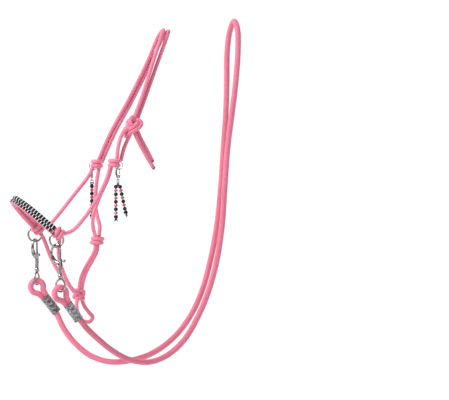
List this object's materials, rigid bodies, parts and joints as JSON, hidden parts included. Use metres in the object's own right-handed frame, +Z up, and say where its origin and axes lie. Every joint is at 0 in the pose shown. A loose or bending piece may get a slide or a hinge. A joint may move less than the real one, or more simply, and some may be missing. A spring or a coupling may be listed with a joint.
{
  "type": "rope halter",
  "caption": "Knotted rope halter with a laced noseband, clip-on rope reins on bolt snaps, and bead charms at the cheek knots.",
  "frame": {"origin": "where the crown rope lies on the poll, under the top of the crown arch", "axes": "+Z up, -X towards the nose, -Y the near side, where the crown is tied"},
  "size_m": [0.477, 0.1638, 0.6946],
  "materials": {
    "halter_rope": "braided polyester rope, soft satin",
    "rein_rope": "thick braided polyester rope, soft satin",
    "lacing": "woven black and silver-white nylon lace",
    "nickel": "bright nickel plate",
    "ferrule": "crimped, slightly dull",
    "spring_steel": "drawn wire",
    "beads": "glossy black and pink beads on black cord"
  },
  "bodies": {
    "halter": {"crown_strand_front": "halter_rope", "crown_strand_rear": "halter_rope", "tie_knot": "halter_rope", "tie_loop_front": "halter_rope", "tie_loop_rear": "halter_rope", "crown_tail_front": "halter_rope", "crown_tail_rear": "halter_rope", "near_cheek_knot": "halter_rope", "far_cheek_knot": "halter_rope", "near_cheek_strand": "halter_rope", "far_cheek_strand": "halter_rope", "near_throat_strand": "halter_rope", "far_throat_strand": "halter_rope", "throat_knot": "halter_rope", "fiador_strand_near": "halter_rope", "fiador_strand_far": "halter_rope", "fiador_knot": "halter_rope", "lead_loop": "halter_rope", "near_chin_strand": "halter_rope", "far_chin_strand": "halter_rope", "near_nose_knot": "halter_rope", "far_nose_knot": "halter_rope", "noseband_rope_upper": "halter_rope", "noseband_rope_lower": "halter_rope", "noseband_lacing": "lacing"},
    "near_ring": {"near_nose_ring": "nickel"},
    "far_ring": {"far_nose_ring": "nickel"},
    "near_snap": {"near_snap_body": "nickel", "near_snap_spring": "spring_steel"},
    "far_snap": {"far_snap_body": "nickel", "far_snap_spring": "spring_steel"},
    "near_bolt": {"near_snap_bolt": "nickel"},
    "far_bolt": {"far_snap_bolt": "nickel"},
    "near_eye": {"near_swivel_eye": "nickel"},
    "far_eye": {"far_swivel_eye": "nickel"},
    "reins": {"near_rein_loop": "rein_rope", "near_rein_ferrule": "ferrule", "far_rein_loop": "rein_rope", "far_rein_ferrule": "ferrule", "rein_rope": "rein_rope"},
    "near_key_ring": {"near_charm_ring": "nickel"},
    "far_key_ring": {"far_charm_ring": "nickel"},
    "near_clasp": {"near_charm_clasp": "nickel", "near_charm_link": "nickel"},
    "far_clasp": {"far_charm_clasp": "nickel", "far_charm_link": "nickel"},
    "near_lever": {"near_charm_lever": "nickel"},
    "far_lever": {"far_charm_lever": "nickel"},
    "near_long_string": {"near_bead_string_long": "beads"},
    "near_short_string": {"near_bead_string_short": "beads"},
    "far_long_string": {"far_bead_string_long": "beads"},
    "far_short_string": {"far_bead_string_short": "beads"}
  },
  "joints": [
    {"name": "near_ring_turn", "type": "hinge", "parent": "halter", "child": "near_ring", "pos_m": [-0.248, -0.066, -0.416], "axis": [0, 1, 0], "range_deg": [-45, 45]},
    {"name": "far_ring_turn", "type": "hinge", "parent": "halter", "child": "far_ring", "pos_m": [-0.255, 0.064, -0.407], "axis": [0, 1, 0], "range_deg": [-45, 45]},
    {"name": "near_snap_swing", "type": "hinge", "parent": "halter", "child": "near_snap", "pos_m": [-0.248, -0.066, -0.43], "axis": [0.0536, -0.9962, -0.069], "range_deg": [0, 6]},
    {"name": "far_snap_swing", "type": "hinge", "parent": "halter", "child": "far_snap", "pos_m": [-0.255, 0.064, -0.421], "axis": [0.0536, -0.9962, -0.069], "range_deg": [0, 6]},
    {"name": "near_bolt_slide", "type": "slide", "parent": "near_snap", "child": "near_bolt", "axis": [0, 0, -1], "range_m": [0, 0.008], "stiffness_N_per_m": 300, "springref_m": -0.004, "deforming": ["near_snap_spring"]},
    {"name": "far_bolt_slide", "type": "slide", "parent": "far_snap", "child": "far_bolt", "axis": [0, 0, -1], "range_m": [0, 0.008], "stiffness_N_per_m": 300, "springref_m": -0.004, "deforming": ["far_snap_spring"]},
    {"name": "near_eye_swivel", "type": "hinge", "parent": "near_snap", "child": "near_eye", "pos_m": [-0.24222, -0.07289, -0.517], "axis": [0, 0, 1], "range_deg": [-8, 2]},
    {"name": "far_eye_swivel", "type": "hinge", "parent": "far_snap", "child": "far_eye", "pos_m": [-0.24921, 0.07089, -0.508], "axis": [0, 0, 1], "range_deg": [-2, 8]},
    {"name": "rein_lift", "type": "hinge", "parent": "near_snap", "child": "reins", "pos_m": [-0.24222, -0.07289, -0.517], "axis": [0.0485, -0.9969, -0.0624], "range_deg": [0, 6]},
    {"name": "near_key_ring_turn", "type": "hinge", "parent": "halter", "child": "near_key_ring", "pos_m": [-0.1195, -0.061, -0.2695], "axis": [0, 1, 0], "range_deg": [-60, 60]},
    {"name": "far_key_ring_turn", "type": "hinge", "parent": "halter", "child": "far_key_ring", "pos_m": [-0.134, 0.062, -0.2685], "axis": [0, 1, 0], "range_deg": [-60, 60]},
    {"name": "near_clasp_swing", "type": "hinge", "parent": "halter", "child": "near_clasp", "pos_m": [-0.12068, -0.061, -0.27792], "axis": [0, 1, 0], "range_deg": [-20, 15]},
    {"name": "far_clasp_swing", "type": "hinge", "parent": "halter", "child": "far_clasp", "pos_m": [-0.13691, 0.062, -0.27649], "axis": [-0.9397, 0.342, 0], "range_deg": [-25, 6]},
    {"name": "near_lever_press", "type": "hinge", "parent": "near_clasp", "child": "near_lever", "pos_m": [-0.11942, -0.0628, -0.29032], "axis": [-0.8192, -0.5736, 0], "range_deg": [0, 20], "stiffness_Nm_per_rad": 0.001, "springref_deg": -17.19},
    {"name": "far_lever_press", "type": "hinge", "parent": "far_clasp", "child": "far_lever", "pos_m": [-0.13565, 0.0638, -0.28889], "axis": [0.8192, -0.5736, 0], "range_deg": [0, 20], "stiffness_Nm_per_rad": 0.001, "springref_deg": -17.19},
    {"name": "near_long_string_swing", "type": "hinge", "parent": "near_clasp", "child": "near_long_string", "pos_m": [-0.12199, -0.06192, -0.3053], "axis": [0, 1, 0], "range_deg": [0, 12]},
    {"name": "near_short_string_swing", "type": "hinge", "parent": "near_clasp", "child": "near_short_string", "pos_m": [-0.11937, -0.06008, -0.3053], "axis": [0, -1, 0], "range_deg": [0, 12]},
    {"name": "far_long_string_swing", "type": "hinge", "parent": "far_clasp", "child": "far_long_string", "pos_m": [-0.1356, 0.06108, -0.3039], "axis": [-0.9397, 0.342, 0], "range_deg": [0, 8]},
    {"name": "far_short_string_swing", "type": "hinge", "parent": "far_clasp", "child": "far_short_string", "pos_m": [-0.13822, 0.06292, -0.3039], "axis": [0.9397, -0.342, 0], "range_deg": [0, 12]}
  ],
  "couplings": [
    {"joint": "far_snap_swing", "follows": "near_snap_swing", "ratio": 1}
  ]
}
